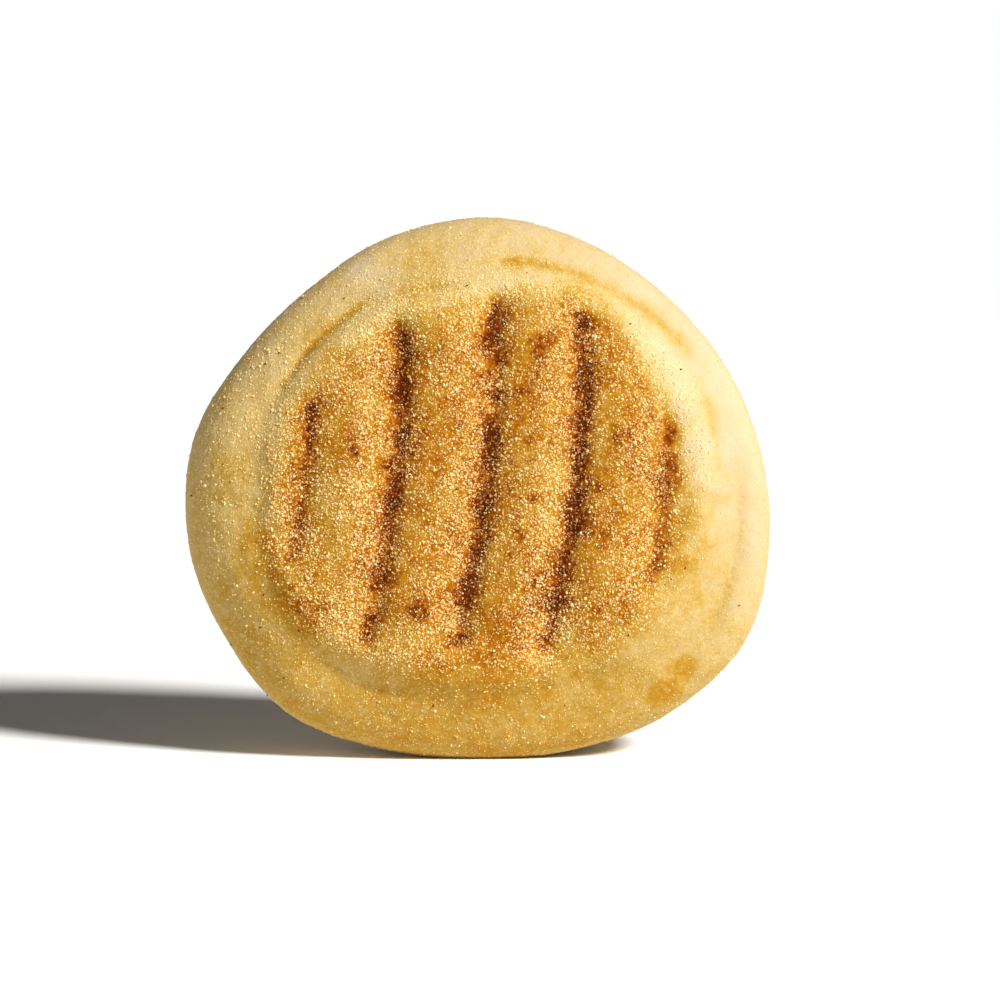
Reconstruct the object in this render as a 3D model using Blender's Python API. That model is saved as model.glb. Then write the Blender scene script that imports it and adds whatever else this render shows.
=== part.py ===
"""An english muffin, griddled on both faces and standing on its edge.

Metres, +Z up. The front face looks along -Y and +X is to its right, the origin is on the floor under
the middle of the muffin. A ball of even facets is flattened to the muffin's section, and its rim is drawn
to the real outline. Both faces are pressed: a raised pad inside soft folds, with five grooves from the
griddle bars. Coarse semolina grains are fused to both pads.
"""

import math

import bmesh
import bpy
import numpy as np
from mathutils import Euler, Matrix, Vector
from mathutils.bvhtree import BVHTree

MM = 0.001

# Body: radii of the rim every 20 degrees, clockwise from the top as the front face shows them.
RIM_RADII = np.array([44.3, 44.1, 43.8, 45.1, 46.6, 48.6, 50.7, 48.6, 46.0,
                      44.9, 45.9, 48.4, 48.3, 48.2, 47.2, 44.1, 42.7, 43.5]) * MM
THICKNESS = 30.0 * MM
SECTION_POWER = 2.9
SECTION_STEPS = 4000
MEAN_RADIUS = 46.5 * MM
FOOT_DROP = 44.1 * MM
BALL_SUBDIVISIONS = 7

# Pads by the hours of a clock, twelve first: radius of each pressed pad, how far it stands proud and how
# wide its edge is.
FRONT_PAD_RADII = np.array([36.4, 38.4, 39.0, 38.2, 37.6, 34.6, 32.6, 33.6, 35.2, 33.8, 34.2, 34.8]) * MM
FRONT_PAD_RISE = np.array([1.0, 1.1, 1.0, 0.9, 0.7, 0.6, 0.9, 1.0, 0.9, 1.0, 1.1, 1.1]) * MM
FRONT_PAD_EDGES = np.array([6.0, 6.0, 7.0, 6.0, 6.0, 7.0, 5.4, 5.0, 4.8, 4.8, 4.6, 4.8]) * MM
BACK_PAD_RADII = np.array([35.4, 36.2, 38.4, 38.0, 36.2, 34.8, 33.0, 35.2, 37.6, 38.4, 36.4, 34.6]) * MM
BACK_PAD_RISE = np.array([1.0, 0.9, 0.8, 0.9, 1.1, 1.0, 0.8, 0.7, 0.9, 1.1, 1.1, 1.0]) * MM
BACK_PAD_EDGES = np.array([5.0, 4.2, 4.0, 4.8, 6.2, 7.0, 5.6, 5.0, 6.4, 7.0, 6.0, 5.6]) * MM

# The sunken ring round each pad: its depth by the hours of a clock, how far out of the pad's edge it is
# deepest, and its half width.
FRONT_RING_DEPTHS = np.array([0.9, 0.9, 0.9, 0.9, 0.9, 0.9, 0.9, 0.6, 0.3, 0.1, 0.2, 0.6]) * MM
BACK_RING_DEPTHS = np.array([0.8, 0.7, 0.5, 0.3, 0.2, 0.3, 0.6, 0.9, 0.9, 0.8, 0.7, 0.8]) * MM
RING_OFFSET = 4.5 * MM
RING_HALF_WIDTH = 5.0 * MM

# Folds beside the pads: first and last hour, then in millimetres the radius at the first, middle and
# last hour, the depth and the half width.
FRONT_FOLDS = [
    (8.7, 10.5, 37.0, 36.8, 36.2, 0.20, 2.0),
    (9.7, 11.2, 36.0, 35.4, 35.6, 0.90, 0.8),
    (10.6, 12.1, 36.2, 33.8, 33.0, 0.90, 1.1),
    (11.9, 14.1, 37.2, 38.8, 41.3, 0.60, 0.9),
    (13.9, 15.0, 39.6, 39.1, 38.2, 0.40, 1.1),
    (14.6, 16.4, 42.4, 42.8, 44.2, 0.40, 1.5),
    (16.5, 19.6, 36.4, 32.4, 34.8, 0.60, 2.6),
    (18.3, 19.8, 34.0, 36.0, 38.2, 0.50, 1.8),
]
BACK_FOLDS = [
    (1.2, 4.6, 36.6, 39.0, 35.8, 0.80, 1.0),
    (5.4, 8.3, 34.4, 33.6, 38.2, 0.60, 1.6),
    (8.6, 12.4, 38.4, 37.0, 35.0, 0.70, 1.1),
    (3.2, 5.6, 41.0, 40.4, 38.6, 0.45, 1.6),
]
FOLD_FADE_HOURS = 0.55
FOLD_POWER = 1.5

# Griddle grooves, in millimetres from the middle of the face, seen face on: (across, up) at the top,
# middle and bottom of each, and its depth.
FRONT_GROOVES = [
    ((-26.0, 15.7), (-27.3, 2.9), (-29.7, -11.2), 0.95),
    ((-12.2, 27.6), (-13.0, 2.5), (-17.8, -23.7), 1.95),
    ((3.0, 31.3), (1.6, 3.3), (-3.2, -24.3), 1.90),
    ((16.8, 29.0), (16.0, 2.5), (10.7, -25.6), 1.95),
    ((30.6, 13.6), (30.4, -0.4), (27.7, -14.8), 1.10),
]
BACK_GROOVES = [
    ((-31.0, 9.8), (-29.9, -2.0), (-30.4, -14.6), 1.30),
    ((-15.2, 25.8), (-14.4, -1.0), (-17.0, -27.4), 2.00),
    ((-1.6, 30.4), (0.2, 0.5), (-1.8, -27.0), 2.25),
    ((12.4, 28.6), (14.6, 1.0), (13.2, -25.2), 2.10),
    ((26.8, 18.4), (28.6, 3.0), (28.2, -12.0), 1.45),
]
GROOVE_HALF_WIDTH = 1.7 * MM
VALLEY_HALF_WIDTH = 4.8 * MM
VALLEY_SHARE = 0.58
GROOVE_END_FADE = 6.0 * MM

# Hand-shaped dough: height and wavelength of its broad lumps and small dimples, fainter at the rim.
LUMP_HEIGHT = 0.40 * MM
LUMP_LENGTH = 24 * MM
DIMPLE_HEIGHT = 0.10 * MM
DIMPLE_LENGTH = 7 * MM
WAVE_COUNT = 28
WAVE_SPREAD = (0.7, 1.5)
RIM_LUMP_SHARE = 0.3

# Where a face begins, as a share of the half thickness, and how fast its relief comes in.
FACE_START_SHARE = 0.35
FACE_FADE_SHARE = 0.40

# The faceted solid, and the coarse grains on it.
BODY_TRIANGLES = 7000
GRAINS_A_FACE = 60
GRAIN_DIAMETER = 0.95 * MM
GRAIN_SPREAD_RADIUS = 33.0 * MM
GRAIN_SINK_SHARE = 0.15
GRAIN_STRETCH = (0.75, 1.15)
GRAIN_SHAKE = 1.0 * MM
GRAIN_TURN_SHAKE = math.radians(3.4)
GRAIN_SEED = 7
SHARP_ANGLE = math.radians(40.0)
CRUST_COLOUR = (0.62, 0.40, 0.13, 1.0)
CRUST_ROUGHNESS = 0.75


def clear_scene():
    """Removes whatever the opened scene holds."""
    for thing in list(bpy.data.objects):
        bpy.data.objects.remove(thing, do_unlink=True)


def smooth_step(x):
    """0 below 0, 1 above 1, and a smooth cubic between them."""
    x = np.clip(x, 0.0, 1.0)
    return x * x * (3.0 - 2.0 * x)


def around(values, turns):
    """Reads evenly spaced values round a ring at any turn, 0 to 1, by a smooth curve through them."""
    place = (turns % 1.0) * len(values)
    index = np.floor(place).astype(int)
    t = place - index
    before, here, after, later = (values[(index + k) % len(values)] for k in (-1, 0, 1, 2))
    bend = 2.0 * before - 5.0 * here + 4.0 * after - later
    return here + 0.5 * t * (after - before + t * (bend + t * (3.0 * (here - after) + later - before)))


def waves(points, length, seed):
    """Sums plane waves of random heading and phase, about the given length, to a height near -1 to 1."""
    draw = np.random.default_rng(seed)
    heading = draw.normal(size=(WAVE_COUNT, 3))
    heading /= np.linalg.norm(heading, axis=1, keepdims=True)
    pitch = 2.0 * math.pi / (length * draw.uniform(*WAVE_SPREAD, WAVE_COUNT))
    phase = draw.uniform(0.0, 2.0 * math.pi, WAVE_COUNT)
    total = np.sin(points @ (heading * pitch[:, None]).T + phase).sum(axis=1)
    return total * math.sqrt(2.0 / WAVE_COUNT) / 2.0


def curve_through(points, at):
    """The parabola through three (value, place) points, read at a place."""
    (a, pa), (b, pb), (c, pc) = points
    return (a * (at - pb) * (at - pc) / ((pa - pb) * (pa - pc))
            + b * (at - pa) * (at - pc) / ((pb - pa) * (pb - pc))
            + c * (at - pa) * (at - pb) / ((pc - pa) * (pc - pb)))


def fold_depth(radius, hours, folds):
    """Depth of the folds: each is a soft V along an arc that fades out at both ends."""
    depth = np.zeros_like(radius)
    for first, last, r_first, r_middle, r_last, deep, half_width in folds:
        hour = first + (hours - first) % 12.0
        ends = [(r_first, first), (r_middle, (first + last) / 2.0), (r_last, last)]
        arc = curve_through(ends, np.minimum(hour, last))
        fade = smooth_step((hour - first) / FOLD_FADE_HOURS) * smooth_step((last - hour) / FOLD_FADE_HOURS)
        offset = (radius - arc * MM) / (half_width * MM)
        depth += deep * MM * fade * np.exp(-np.abs(offset) ** FOLD_POWER)
    return depth


def groove_depth(across, up, grooves):
    """Depth of the bar grooves: a narrow channel in a wide shallow valley along each bent line."""
    depth = np.zeros_like(across)
    for top, middle, bottom, deep in grooves:
        line = curve_through([top, middle, bottom], up / MM) * MM
        ends = smooth_step((top[1] * MM - up) / GROOVE_END_FADE + 0.5)
        ends *= smooth_step((up - bottom[1] * MM) / GROOVE_END_FADE + 0.5)
        channel = (1.0 - VALLEY_SHARE) * np.exp(-((across - line) / GROOVE_HALF_WIDTH) ** 2)
        valley = VALLEY_SHARE * np.exp(-((across - line) / VALLEY_HALF_WIDTH) ** 2)
        depth += deep * MM * ends * (channel + valley)
    return depth


def face_relief(across, up, pad_radii, pad_rise, pad_edges, ring_depths, folds, grooves):
    """Height of one face over the plain body: its raised pad, less the sunken ring round it, its folds
    and grooves. The pad is level at its middle and reaches its own height for each hour at its edge."""
    radius = np.hypot(across, up)
    turns = np.arctan2(across, up) / (2.0 * math.pi)
    edge = around(pad_radii, turns)
    uneven = around(pad_rise, turns) - pad_rise.mean()
    level = pad_rise.mean() + uneven * np.minimum(radius / edge, 1.0) ** 2
    pad = smooth_step((edge - radius) / around(pad_edges, turns) + 0.5) * level
    ring = around(ring_depths, turns) * np.exp(-((radius - edge - RING_OFFSET) / RING_HALF_WIDTH) ** 2)
    return pad - ring - fold_depth(radius, turns * 12.0, folds) - groove_depth(across, up, grooves)


def flattened(directions):
    """Takes each direction of a ball to the muffin's section: its angle from the front pole becomes an
    even share of the way round the superellipse |out|^p + |depth|^p = 1."""
    angle = np.linspace(0.0, math.pi, SECTION_STEPS)
    out = MEAN_RADIUS * np.abs(np.sin(angle)) ** (2.0 / SECTION_POWER)
    depth = -0.5 * THICKNESS * np.sign(np.cos(angle)) * np.abs(np.cos(angle)) ** (2.0 / SECTION_POWER)
    length = np.concatenate([[0.0], np.cumsum(np.hypot(np.diff(out), np.diff(depth)))])
    x, y, z = directions.T
    way = np.arccos(np.clip(-y, -1.0, 1.0)) / math.pi * length[-1]
    spread = np.interp(way, length, out) / np.maximum(np.hypot(x, z), 1e-9)
    return np.stack([x * spread, np.interp(way, length, depth), z * spread], axis=1)


def shape_crust(points):
    """Moves the flattened ball's points to the real rim, presses both faces and adds the lumps."""
    turns = np.arctan2(points[:, 0], points[:, 2]) / (2.0 * math.pi)
    points[:, [0, 2]] *= (around(RIM_RADII, turns) / MEAN_RADIUS)[:, None]
    x, y, z = points.T
    flat_share = smooth_step((np.abs(y) / (0.5 * THICKNESS) - FACE_START_SHARE) / FACE_FADE_SHARE)
    front = face_relief(x, z, FRONT_PAD_RADII, FRONT_PAD_RISE, FRONT_PAD_EDGES, FRONT_RING_DEPTHS,
                        FRONT_FOLDS, FRONT_GROOVES)
    back = face_relief(-x, z, BACK_PAD_RADII, BACK_PAD_RISE, BACK_PAD_EDGES, BACK_RING_DEPTHS, BACK_FOLDS,
                       BACK_GROOVES)
    relief = np.where(y < 0.0, -front, back) * flat_share
    outward = points / np.array([MEAN_RADIUS, 0.5 * THICKNESS, MEAN_RADIUS]) ** 2
    outward /= np.linalg.norm(outward, axis=1, keepdims=True)
    height = LUMP_HEIGHT * waves(points, LUMP_LENGTH, 1) + DIMPLE_HEIGHT * waves(points, DIMPLE_LENGTH, 2)
    height *= RIM_LUMP_SHARE + (1.0 - RIM_LUMP_SHARE) * flat_share
    shaped = points + outward * height[:, None]
    shaped[:, 1] += relief
    return shaped


def settled(obj):
    """Gives the object the mesh that its modifiers make, and takes the modifiers away."""
    result = bpy.data.meshes.new_from_object(obj.evaluated_get(bpy.context.evaluated_depsgraph_get()))
    obj.modifiers.clear()
    obj.data = result
    return obj


def crust_body():
    """The pressed and grooved muffin as one closed faceted body, before its foot is cut."""
    ball = bmesh.new()
    bmesh.ops.create_icosphere(ball, subdivisions=BALL_SUBDIVISIONS, radius=1.0)
    directions = np.array([v.co for v in ball.verts])
    data = bpy.data.meshes.new("muffin")
    ball.to_mesh(data)
    ball.free()
    data.vertices.foreach_set("co", shape_crust(flattened(directions)).ravel())
    obj = bpy.data.objects.new("muffin", data)
    bpy.context.scene.collection.objects.link(obj)
    lighter = obj.modifiers.new("fewer facets", "DECIMATE")
    lighter.ratio = BODY_TRIANGLES / len(data.polygons)
    return settled(obj)


def cut_foot(obj):
    """Cuts the rim off at the floor, which leaves the small flat that the muffin stands on."""
    mesh = bmesh.new()
    mesh.from_mesh(obj.data)
    everything = mesh.verts[:] + mesh.edges[:] + mesh.faces[:]
    bmesh.ops.bisect_plane(mesh, geom=everything, dist=1e-6, plane_co=(0, 0, -FOOT_DROP),
                           plane_no=(0, 0, -1), clear_outer=True)
    rim = [e for e in mesh.edges if e.is_boundary]
    foot = bmesh.ops.contextual_create(mesh, geom=rim)["faces"]
    bmesh.ops.triangulate(mesh, faces=foot)
    bmesh.ops.recalc_face_normals(mesh, faces=mesh.faces[:])
    mesh.to_mesh(obj.data)
    mesh.free()


def centre_on_floor(obj):
    """Moves the mesh so that the foot is at height 0 and the box is centred over the origin."""
    corners = np.array(obj.bound_box)
    low, high = corners.min(axis=0), corners.max(axis=0)
    middle = (low + high) / 2.0
    obj.data.transform(Matrix.Translation((-middle[0], -middle[1], -low[2])))


def make_grain(name, place, draw):
    """One blunt grain: an icosahedron pulled to an uneven length and turned at random."""
    stretch = draw.uniform(*GRAIN_STRETCH, 3)
    turn = Euler(draw.uniform(0.0, 2.0 * math.pi, 3)).to_matrix().to_4x4()
    mesh = bmesh.new()
    bmesh.ops.create_icosphere(mesh, subdivisions=1, radius=GRAIN_DIAMETER / 2.0,
                               matrix=Matrix.Translation(place) @ turn @ Matrix.Diagonal((*stretch, 1.0)))
    data = bpy.data.meshes.new(name)
    mesh.to_mesh(data)
    mesh.free()
    return bpy.data.objects.new(name, data)


def scatter_grains(body, middle_height):
    """Grains on both faces, spread like a sunflower's seeds and shaken a little, half sunk in the crust."""
    draw = np.random.default_rng(GRAIN_SEED)
    points = [v.co for v in body.data.vertices]
    surface = BVHTree.FromPolygons(points, [p.vertices for p in body.data.polygons])
    grains = bpy.data.collections.new("grains")
    bpy.context.scene.collection.children.link(grains)
    golden_turn = math.pi * (3.0 - math.sqrt(5.0))
    for side in (-1.0, 1.0):
        for k in range(GRAINS_A_FACE):
            radius = GRAIN_SPREAD_RADIUS * math.sqrt((k + 0.5) / GRAINS_A_FACE) + draw.normal() * GRAIN_SHAKE
            angle = k * golden_turn + draw.normal() * GRAIN_TURN_SHAKE
            height = middle_height + radius * math.sin(angle)
            start = Vector((radius * math.cos(angle), side * THICKNESS, height))
            place, normal, _, _ = surface.ray_cast(start, Vector((0.0, -side, 0.0)))
            place -= normal * GRAIN_DIAMETER * GRAIN_SINK_SHARE
            grains.objects.link(make_grain(f"grain.{side:+.0f}.{k}", place, draw))
    return grains


def fuse(body, grains):
    """Joins the grains to the body in one union, and removes the loose grains."""
    union = body.modifiers.new("grains", "BOOLEAN")
    union.operation = "UNION"
    union.operand_type = "COLLECTION"
    union.collection = grains
    settled(body)
    for grain in list(grains.objects):
        bpy.data.objects.remove(grain, do_unlink=True)
    bpy.data.collections.remove(grains)


def crust_material():
    """Toasted, floury crust: golden tan and matt."""
    material = bpy.data.materials.new("crust")
    material.use_nodes = True
    shader = material.node_tree.nodes["Principled BSDF"]
    shader.inputs["Base Color"].default_value = CRUST_COLOUR
    shader.inputs["Roughness"].default_value = CRUST_ROUGHNESS
    shader.inputs["Metallic"].default_value = 0.0
    return material


def main():
    clear_scene()
    muffin = crust_body()
    cut_foot(muffin)
    centre_on_floor(muffin)
    fuse(muffin, scatter_grains(muffin, FOOT_DROP))
    muffin.data.materials.clear()
    muffin.data.materials.append(crust_material())
    muffin.data.shade_smooth()
    muffin.data.set_sharp_from_angle(angle=SHARP_ANGLE)


if __name__ == "__main__":
    main()
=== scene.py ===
"""The looks of a griddled english muffin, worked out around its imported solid.

Metres, +Z up. The front face looks along -Y with +X to its right, and the muffin stands on the floor at
height 0. A ball of even patches is flattened to the muffin's section, drawn to the real rim and pressed on
both faces, so the crust follows the solid. Its browning is worked out for each point from the griddle
bars, the pads and a few named spots. Semolina grains of five kinds and dark bran flecks lie on it as
real meshes.
"""

import math

import bpy
import numpy as np
from bpy.props import FloatProperty, FloatVectorProperty, IntProperty, PointerProperty
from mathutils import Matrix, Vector


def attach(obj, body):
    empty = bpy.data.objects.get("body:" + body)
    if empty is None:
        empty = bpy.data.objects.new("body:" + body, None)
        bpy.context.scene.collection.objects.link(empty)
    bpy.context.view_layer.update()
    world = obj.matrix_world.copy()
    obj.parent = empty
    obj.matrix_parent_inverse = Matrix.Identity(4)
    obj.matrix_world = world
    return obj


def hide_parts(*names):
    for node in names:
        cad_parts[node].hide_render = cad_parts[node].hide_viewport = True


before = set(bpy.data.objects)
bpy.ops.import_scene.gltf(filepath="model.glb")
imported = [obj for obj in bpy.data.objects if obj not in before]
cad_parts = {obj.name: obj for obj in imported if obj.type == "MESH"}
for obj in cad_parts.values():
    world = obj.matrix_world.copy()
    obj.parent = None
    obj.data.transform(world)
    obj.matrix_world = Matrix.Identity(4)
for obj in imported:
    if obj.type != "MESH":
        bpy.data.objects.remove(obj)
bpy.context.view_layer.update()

bl_info = {
    "name": "Griddled muffin",
    "version": (1, 0, 0),
    "blender": (4, 5, 0),
    "location": "View3D > Sidebar > Muffin",
    "description": "Builds a griddled english muffin with its semolina coat",
    "category": "Add Mesh",
}

MM = 0.001
NODE = "muffin"

# Body: radii of the rim every 20 degrees, clockwise from the top as the front face shows them.
RIM_RADII = np.array([44.3, 44.1, 43.8, 45.1, 46.6, 48.6, 50.7, 48.6, 46.0,
                      44.9, 45.9, 48.4, 48.3, 48.2, 47.2, 44.1, 42.7, 43.5]) * MM
SECTION_POWER = 2.9
SECTION_STEPS = 4000
MEAN_RADIUS = 46.5 * MM
FOOT_DROP = 44.1 * MM
PATCH_STEPS = 128

# Pads by the hours of a clock, twelve first: radius of each pressed pad, how far it stands proud and how
# wide its edge is.
FRONT_PAD_RADII = np.array([36.4, 38.4, 39.0, 38.2, 37.6, 34.6, 32.6, 33.6, 35.2, 33.8, 34.2, 34.8]) * MM
FRONT_PAD_RISE = np.array([1.0, 1.1, 1.0, 0.9, 0.7, 0.6, 0.9, 1.0, 0.9, 1.0, 1.1, 1.1]) * MM
FRONT_PAD_EDGES = np.array([6.0, 6.0, 7.0, 6.0, 6.0, 7.0, 5.4, 5.0, 4.8, 4.8, 4.6, 4.8]) * MM
BACK_PAD_RADII = np.array([35.4, 36.2, 38.4, 38.0, 36.2, 34.8, 33.0, 35.2, 37.6, 38.4, 36.4, 34.6]) * MM
BACK_PAD_RISE = np.array([1.0, 0.9, 0.8, 0.9, 1.1, 1.0, 0.8, 0.7, 0.9, 1.1, 1.1, 1.0]) * MM
BACK_PAD_EDGES = np.array([5.0, 4.2, 4.0, 4.8, 6.2, 7.0, 5.6, 5.0, 6.4, 7.0, 6.0, 5.6]) * MM

# The sunken ring round each pad: its depth by the hours of a clock, how far out of the pad's edge it is
# deepest, and its half width.
FRONT_RING_DEPTHS = np.array([0.9, 0.9, 0.9, 0.9, 0.9, 0.9, 0.9, 0.6, 0.3, 0.1, 0.2, 0.6]) * MM
BACK_RING_DEPTHS = np.array([0.8, 0.7, 0.5, 0.3, 0.2, 0.3, 0.6, 0.9, 0.9, 0.8, 0.7, 0.8]) * MM
RING_OFFSET = 4.5 * MM
RING_HALF_WIDTH = 5.0 * MM

# Folds beside the pads: first and last hour, then in millimetres the radius at the first, middle and
# last hour, the depth and the half width, and last how much browner it is than the crust: partly the
# fold's own browning, partly painted shade in its crease.
FRONT_FOLDS = [
    (8.7, 10.5, 37.0, 36.8, 36.2, 0.20, 2.0, 0.00),
    (9.7, 11.2, 36.0, 35.4, 35.6, 0.90, 0.8, 0.21),
    (10.6, 12.1, 36.2, 33.8, 33.0, 0.90, 1.1, 0.12),
    (11.9, 14.1, 37.2, 38.8, 41.3, 0.60, 0.9, 0.22),
    (13.9, 15.0, 39.6, 39.1, 38.2, 0.40, 1.1, 0.12),
    (14.6, 16.4, 42.4, 42.8, 44.2, 0.40, 1.5, 0.06),
    (16.5, 19.6, 36.4, 32.4, 34.8, 0.60, 2.6, 0.04),
    (18.3, 19.8, 34.0, 36.0, 38.2, 0.50, 1.8, 0.03),
]
BACK_FOLDS = [
    (1.2, 4.6, 36.6, 39.0, 35.8, 0.80, 1.0, 0.10),
    (5.4, 8.3, 34.4, 33.6, 38.2, 0.60, 1.6, 0.06),
    (8.6, 12.4, 38.4, 37.0, 35.0, 0.70, 1.1, 0.20),
    (3.2, 5.6, 41.0, 40.4, 38.6, 0.45, 1.6, 0.04),
]
FOLD_FADE_HOURS = 0.55
FOLD_POWER = 1.5

# Griddle grooves, in millimetres from the middle of the face, seen face on: (across, up) at the top,
# middle and bottom of each, its depth, and then how dark its bar mark is and the mark's half width.
FRONT_GROOVES = [
    ((-26.0, 15.7), (-27.3, 2.9), (-29.7, -11.2), 0.95, 0.27, 1.40),
    ((-12.2, 27.6), (-13.0, 2.5), (-17.8, -23.7), 1.95, 0.39, 1.70),
    ((3.0, 31.3), (1.6, 3.3), (-3.2, -24.3), 1.90, 0.43, 1.60),
    ((16.8, 29.0), (16.0, 2.5), (10.7, -25.6), 1.95, 0.42, 1.60),
    ((30.6, 13.6), (30.4, -0.4), (27.7, -14.8), 1.10, 0.21, 1.25),
]
BACK_GROOVES = [
    ((-31.0, 9.8), (-29.9, -2.0), (-30.4, -14.6), 1.30, 0.34, 1.35),
    ((-15.2, 25.8), (-14.4, -1.0), (-17.0, -27.4), 2.00, 0.48, 1.75),
    ((-1.6, 30.4), (0.2, 0.5), (-1.8, -27.0), 2.25, 0.54, 1.80),
    ((12.4, 28.6), (14.6, 1.0), (13.2, -25.2), 2.10, 0.50, 1.70),
    ((26.8, 18.4), (28.6, 3.0), (28.2, -12.0), 1.45, 0.38, 1.35),
]
GROOVE_HALF_WIDTH = 1.7 * MM
VALLEY_HALF_WIDTH = 4.8 * MM
VALLEY_SHARE = 0.58
GROOVE_END_FADE = 6.0 * MM

# Hand-shaped dough: height and wavelength of its broad lumps and small dimples, the lengths of its fine
# wrinkles and creases, and how much fainter all are at the rim.
LUMP_HEIGHT = 0.40 * MM
LUMP_LENGTH = 24 * MM
DIMPLE_HEIGHT = 0.10 * MM
DIMPLE_LENGTH = 7 * MM
WRINKLE_LENGTH = 3.2 * MM
CREASE_LENGTH = 1.5 * MM
CREASE_SHARE = 0.6
WAVE_COUNT = 28
WAVE_SPREAD = (0.7, 1.5)
RIM_LUMP_SHARE = 0.3

# Seeds of the waves, one for each use.
LUMP_SEED, DIMPLE_SEED, WRINKLE_SEED, CREASE_SEED = 1, 2, 3, 4
BLOTCH_SEED, RAGGED_SEED, FRAYED_SEED, MARK_SEED = 11, 12, 13, 14
CLUMP_SEED, THICKET_SEED = 21, 22

# Where the faces' relief, browning and coat begin, as shares of the half thickness, and how fast each
# comes in.
RELIEF_START, RELIEF_FADE = 0.35, 0.40
BROWNING_START, BROWNING_FADE = 0.1, 0.4
COAT_START, COAT_SPAN = 0.2, 0.5

# Toasted spots, in millimetres on the face: across, up, radius, and how much browner than the crust, or
# less brown where a bar barely touched. On the front a few browner spots are painted shade, not toast: at
# (-39.8, 3.0) on the left rim, and at (-24.8, 24.8) and (-9.0, 35.2) in the creases along the pad's top.
FRONT_TOAST_AND_SHADE_SPOTS = [
    (3.0, 18.6, 1.9, -0.22), (2.4, 14.4, 1.3, -0.16), (-29.2, -7.4, 3.8, -0.12), (17.8, 25.0, 1.4, -0.14),
    (10.4, -26.2, 1.8, -0.16), (-16.6, -17.2, 1.3, -0.10), (12.2, -15.0, 1.3, -0.08),
    (2.0, 26.6, 1.6, 0.10), (-9.3, -18.2, 1.6, 0.20), (10.0, 24.1, 1.7, 0.20), (12.4, 25.4, 1.2, 0.12),
    (22.8, 10.0, 1.5, 0.14), (24.2, 13.6, 1.3, 0.10), (-19.6, 6.8, 0.8, 0.16), (-16.8, 16.8, 0.8, 0.10),
    (-7.4, -11.0, 0.9, 0.12), (8.1, 8.7, 0.8, 0.14), (8.7, 6.1, 0.8, 0.14), (8.7, -0.4, 0.9, 0.16),
    (23.2, -3.0, 0.9, 0.10), (6.8, -6.5, 1.0, 0.14), (5.8, -9.2, 1.0, 0.12), (18.8, -18.5, 1.0, 0.14),
    (-24.9, -17.6, 1.1, 0.08), (1.4, 19.3, 1.2, 0.16), (-4.8, 13.1, 2.8, 0.08), (-8.0, -2.6, 2.2, 0.08),
    (-13.8, -13.5, 1.2, 0.12), (-11.6, -12.4, 1.1, 0.12), (30.4, -32.4, 2.2, 0.13),
    (33.8, -29.0, 2.0, 0.13), (28.4, -33.8, 1.5, 0.09), (32.8, 23.8, 2.2, 0.05), (-36.4, -6.6, 3.2, 0.07),
    (-35.2, -10.6, 3.8, 0.09), (-33.6, -14.4, 4.0, 0.10), (-30.6, -17.4, 3.2, 0.09),
    (-27.6, -20.6, 2.8, 0.08), (-24.8, 24.8, 2.4, 0.12), (-19.1, 36.1, 2.0, -0.08),
    (-15.0, 30.2, 2.6, -0.08), (-39.8, 3.0, 3.8, 0.08), (-1.0, -23.0, 7.0, 0.03),
    (-15.3, -15.2, 1.2, -0.10), (-12.4, 21.0, 1.8, -0.06), (5.6, 36.4, 1.6, 0.10), (0.6, 24.6, 1.3, 0.12),
    (-19.5, -28.5, 3.2, -0.08), (14.9, -15.0, 1.4, -0.16), (-15.2, 5.0, 1.3, 0.12),
    (-22.4, -20.4, 4.0, -0.13), (-27.6, -16.2, 2.4, -0.08), (-33.2, -4.0, 1.6, -0.06),
    (-32.6, 4.0, 1.6, -0.06), (-21.4, 0.5, 4.6, -0.06), (-20.4, 8.6, 2.8, 0.09), (-13.6, -26.2, 4.2, -0.09),
    (13.4, 3.0, 2.6, -0.09), (5.3, 26.0, 2.4, 0.06), (5.3, -18.5, 4.2, 0.06), (10.2, 16.0, 3.4, 0.06),
    (30.6, 9.4, 1.5, 0.16), (30.7, 5.6, 1.3, 0.10), (12.6, -21.4, 2.4, -0.22), (-14.4, -10.0, 2.4, -0.09),
    (-14.0, -4.2, 2.2, -0.09), (-0.4, -5.2, 2.0, -0.08), (23.2, 1.0, 3.4, 0.02), (36.0, -2.0, 3.4, 0.11),
    (35.0, -8.4, 3.4, 0.11), (33.2, -14.4, 3.2, 0.10), (-9.0, 35.2, 3.6, 0.09), (-2.0, -20.2, 2.0, -0.18),
    (22.0, 23.8, 2.0, 0.03), (22.4, -6.0, 3.0, 0.08), (6.5, 14.0, 3.2, 0.06),
]
BACK_SPOTS = [
    (-22.0, 4.0, 1.6, 0.16), (-6.5, 12.5, 1.4, 0.18), (6.0, -8.5, 1.8, 0.16), (20.5, 12.0, 1.5, 0.20),
    (21.0, -14.5, 1.2, 0.14), (-9.0, -17.0, 1.3, 0.14), (8.0, 21.5, 1.1, 0.12), (-24.0, -16.0, 2.6, 0.12),
    (-6.0, -2.0, 2.8, 0.10), (21.5, 1.0, 2.6, 0.10), (-33.0, 18.0, 2.0, 0.16), (33.0, -20.0, 2.2, 0.18),
    (-20.0, 18.0, 1.0, 0.18), (6.8, 2.2, 0.9, 0.20), (-7.0, 24.0, 2.4, 0.10), (2.0, -33.0, 2.2, 0.10),
]
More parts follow.
